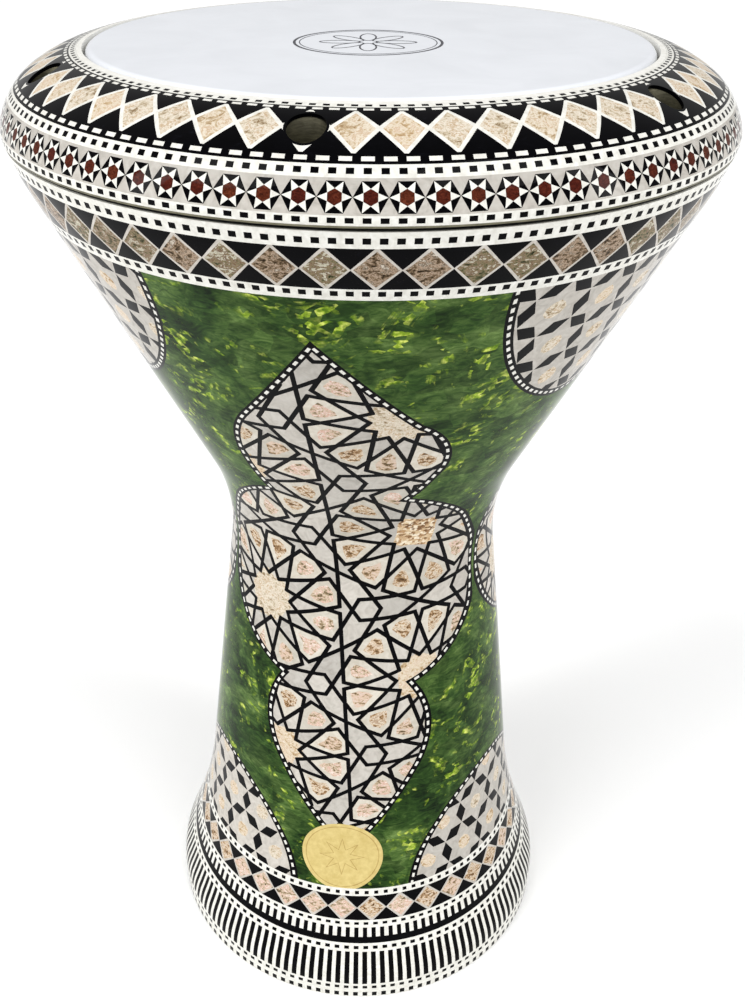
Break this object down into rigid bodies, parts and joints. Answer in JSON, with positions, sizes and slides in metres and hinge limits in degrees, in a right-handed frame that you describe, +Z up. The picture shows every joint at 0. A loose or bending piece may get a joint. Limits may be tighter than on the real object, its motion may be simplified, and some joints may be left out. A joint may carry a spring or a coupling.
{
  "type": "darbuka",
  "caption": "Goblet-shaped hand drum: cast shell with a mosaic inlay skin, a stretched plastic head, and a bolted tuning ring that rises and falls as its screws turn",
  "frame": {"origin": "on the floor at the centre of the foot ring", "axes": "+Z up along the drum's axis from foot to head; -Y faces the viewer, the side with the badge; +X to the viewer's right"},
  "size_m": [0.2794, 0.2794, 0.444],
  "materials": {
    "cast_shell": "as cast, lightly blasted",
    "cast_ring": "machined and lacquered",
    "hoop_aluminium": "extruded, satin",
    "head_plastic": "translucent white film, faint haze",
    "insert_steel": "turned",
    "bolt_steel": "satin zinc plate",
    "green_acrylic": "deep green pearl sheet with fine flecks under clear lacquer",
    "badge_brass": "satin, lightly engraved",
    "black_acrylic": "gloss",
    "diamond_inlay": "pearl and black tiles under clear lacquer",
    "pearl_inlay": "white pearl tiles with black lines under clear lacquer",
    "strip_inlay": "black and white tile strip under clear lacquer"
  },
  "bodies": {
    "shell": {"bar_band": "diamond_inlay", "black_line_strip": "black_acrylic", "body_check_strip_lower": "strip_inlay", "body_check_strip_top": "strip_inlay", "body_check_strip_upper": "strip_inlay", "body_diamond_band": "diamond_inlay", "comb_fringe_strip": "diamond_inlay", "drum_shell": "cast_shell", "foot_check_strip_edge": "strip_inlay", "foot_check_strip_lower": "strip_inlay", "foot_check_strip_middle": "strip_inlay", "foot_check_strip_upper": "strip_inlay", "foot_diamond_band": "diamond_inlay", "girih_borders": "strip_inlay", "girih_panel_1": "pearl_inlay", "girih_panel_2": "pearl_inlay", "girih_panel_3": "pearl_inlay", "green_field": "green_acrylic", "head_film": "head_plastic", "lower_star_borders": "strip_inlay", "lower_star_panel_1": "pearl_inlay", "lower_star_panel_2": "pearl_inlay", "lower_star_panel_3": "pearl_inlay", "round_badge": "badge_brass", "threaded_inserts": "insert_steel", "upper_star_borders": "strip_inlay", "upper_star_panel_1": "pearl_inlay", "upper_star_panel_2": "pearl_inlay", "upper_star_panel_3": "pearl_inlay"},
    "ring": {"tuning_ring": "cast_ring", "flesh_hoop": "hoop_aluminium", "bolt_washers": "bolt_steel", "ring_check_strip_inner": "strip_inlay", "ring_check_strip_lower": "strip_inlay", "ring_check_strip_shoulder": "strip_inlay", "ring_dash_strip_inner": "strip_inlay", "ring_dash_strip_outer": "strip_inlay", "ring_diamond_band": "diamond_inlay", "ring_star_band": "pearl_inlay"},
    "bolt_1": {"tuning_bolt_1": "bolt_steel"},
    "bolt_2": {"tuning_bolt_2": "bolt_steel"},
    "bolt_3": {"tuning_bolt_3": "bolt_steel"},
    "bolt_4": {"tuning_bolt_4": "bolt_steel"},
    "bolt_5": {"tuning_bolt_5": "bolt_steel"},
    "bolt_6": {"tuning_bolt_6": "bolt_steel"}
  },
  "joints": [
    {"name": "ring_travel", "type": "slide", "parent": "shell", "child": "ring", "axis": [0, 0, 1], "range_m": [-0.001, 0.003]},
    {"name": "bolt_1_turn", "type": "hinge", "parent": "ring", "child": "bolt_1", "pos_m": [-0.01802, -0.12056, 0.4339], "axis": [0, 0, 1], "range_deg": [-362, 1082]},
    {"name": "bolt_2_turn", "type": "hinge", "parent": "ring", "child": "bolt_2", "pos_m": [0.0954, -0.07588, 0.4339], "axis": [0, 0, 1], "range_deg": [-362, 1082]},
    {"name": "bolt_3_turn", "type": "hinge", "parent": "ring", "child": "bolt_3", "pos_m": [0.11342, 0.04468, 0.4339], "axis": [0, 0, 1], "range_deg": [-362, 1082]},
    {"name": "bolt_4_turn", "type": "hinge", "parent": "ring", "child": "bolt_4", "pos_m": [0.01802, 0.12056, 0.4339], "axis": [0, 0, 1], "range_deg": [-362, 1082]},
    {"name": "bolt_5_turn", "type": "hinge", "parent": "ring", "child": "bolt_5", "pos_m": [-0.0954, 0.07588, 0.4339], "axis": [0, 0, 1], "range_deg": [-362, 1082]},
    {"name": "bolt_6_turn", "type": "hinge", "parent": "ring", "child": "bolt_6", "pos_m": [-0.11342, -0.04468, 0.4339], "axis": [0, 0, 1], "range_deg": [-362, 1082]}
  ],
  "couplings": [
    {"joint": "bolt_1_turn", "follows": "ring_travel", "rad_per_m": 6283.2},
    {"joint": "bolt_2_turn", "follows": "ring_travel", "rad_per_m": 6283.2},
    {"joint": "bolt_3_turn", "follows": "ring_travel", "rad_per_m": 6283.2},
    {"joint": "bolt_4_turn", "follows": "ring_travel", "rad_per_m": 6283.2},
    {"joint": "bolt_5_turn", "follows": "ring_travel", "rad_per_m": 6283.2},
    {"joint": "bolt_6_turn", "follows": "ring_travel", "rad_per_m": 6283.2}
  ]
}
